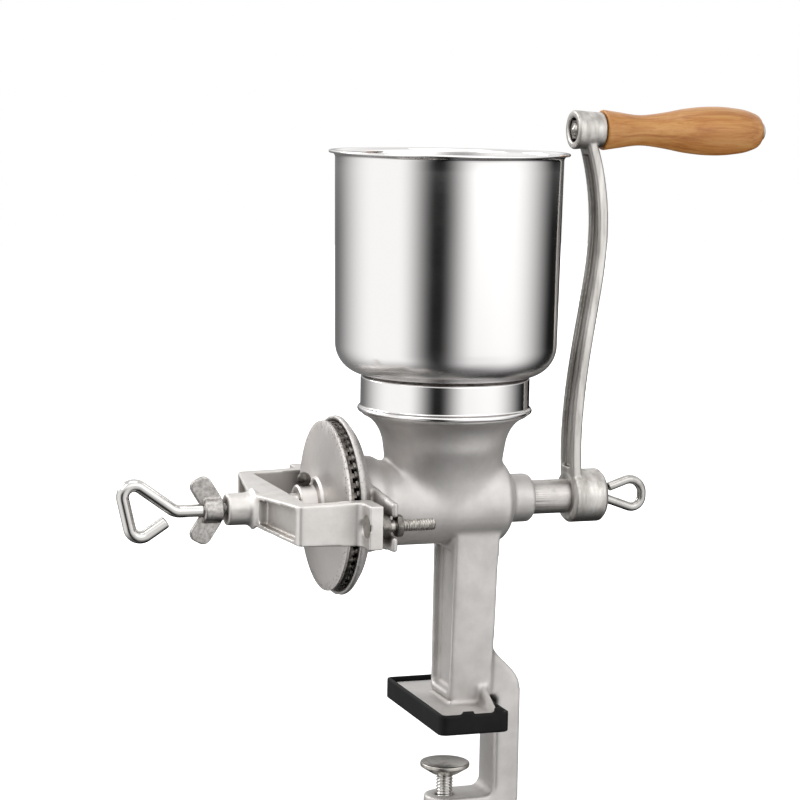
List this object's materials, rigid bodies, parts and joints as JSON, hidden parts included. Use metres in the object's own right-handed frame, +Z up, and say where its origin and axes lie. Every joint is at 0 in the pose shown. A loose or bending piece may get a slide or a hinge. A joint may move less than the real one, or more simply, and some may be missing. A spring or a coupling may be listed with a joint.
{
  "type": "hand crank grinder",
  "caption": "Clamp-on hand cranked plate mill with a steel hopper, feed auger, grinding discs, adjusting yoke and wooden grip.",
  "frame": {"origin": "underside of the rubber foot pad, on the hopper's axis, where the mill stands on the table", "axes": "+X along the shaft towards the crank, +Y away from the front, +Z up"},
  "size_m": [0.4044, 0.16, 0.5166],
  "materials": {
    "casting": "tinned, satin",
    "plate_iron": "as cast",
    "crank_iron": "tinned, satin",
    "shaft_steel": "turned",
    "bright_steel": "zinc plated",
    "polished_steel": "polished",
    "rubber": "moulded",
    "wood": "lacquered"
  },
  "bodies": {
    "mill_frame": {"mill_body": "casting", "foot_pad": "rubber", "fixed_burr": "plate_iron", "yoke": "casting", "yoke_bolts": "bright_steel", "yoke_nuts": "bright_steel"},
    "thrust_ball": {"steel_ball": "bright_steel"},
    "rotor": {"auger": "shaft_steel", "burr_carrier": "casting", "rotating_burr": "plate_iron", "hub_pin": "bright_steel", "crank_arm": "crank_iron", "crank_screw": "bright_steel", "spindle_nut": "bright_steel", "grip_spindle": "bright_steel"},
    "grip": {"wooden_grip": "wood"},
    "adjuster": {"adjusting_screw": "bright_steel"},
    "lock_nut": {"wing_nut": "bright_steel"},
    "disc": {"pressure_disc": "bright_steel"},
    "clamp": {"clamp_screw": "bright_steel"},
    "hopper": {"hopper_collar": "polished_steel", "hopper_cup": "polished_steel"}
  },
  "joints": [
    {"name": "burr_gap_slide", "type": "slide", "parent": "mill_frame", "child": "thrust_ball", "axis": [1, 0, 0], "range_m": [-0.003, 0]},
    {"name": "crank_turn", "type": "hinge", "parent": "thrust_ball", "child": "rotor", "pos_m": [-0.0945, 0, 0.1313], "axis": [1, 0, 0], "continuous": true},
    {"name": "grip_turn", "type": "hinge", "parent": "rotor", "child": "grip", "pos_m": [0.15, 0, 0.3538], "axis": [1, 0, 0], "continuous": true},
    {"name": "adjuster_turn", "type": "hinge", "parent": "thrust_ball", "child": "adjuster", "pos_m": [-0.13, 0, 0.1313], "axis": [1, 0, 0], "range_deg": [-865, 0]},
    {"name": "lock_nut_turn", "type": "hinge", "parent": "adjuster", "child": "lock_nut", "pos_m": [-0.1427, 0, 0.1313], "axis": [1, 0, 0], "range_deg": [-864, 0]},
    {"name": "disc_slide", "type": "slide", "parent": "mill_frame", "child": "disc", "axis": [0, 0, 1], "range_m": [-0.01205, 0.02205]},
    {"name": "clamp_turn", "type": "hinge", "parent": "disc", "child": "clamp", "pos_m": [0.005, 0, -0.06], "axis": [0, 0, 1], "range_deg": [-2160, 3960]},
    {"name": "hopper_lift", "type": "slide", "parent": "mill_frame", "child": "hopper", "axis": [0, 0, 1], "range_m": [0, 0.08]}
  ],
  "couplings": [
    {"joint": "adjuster_turn", "follows": "burr_gap_slide", "rad_per_m": 5026.5},
    {"joint": "disc_slide", "follows": "clamp_turn", "m_per_rad": 0.00031831}
  ]
}
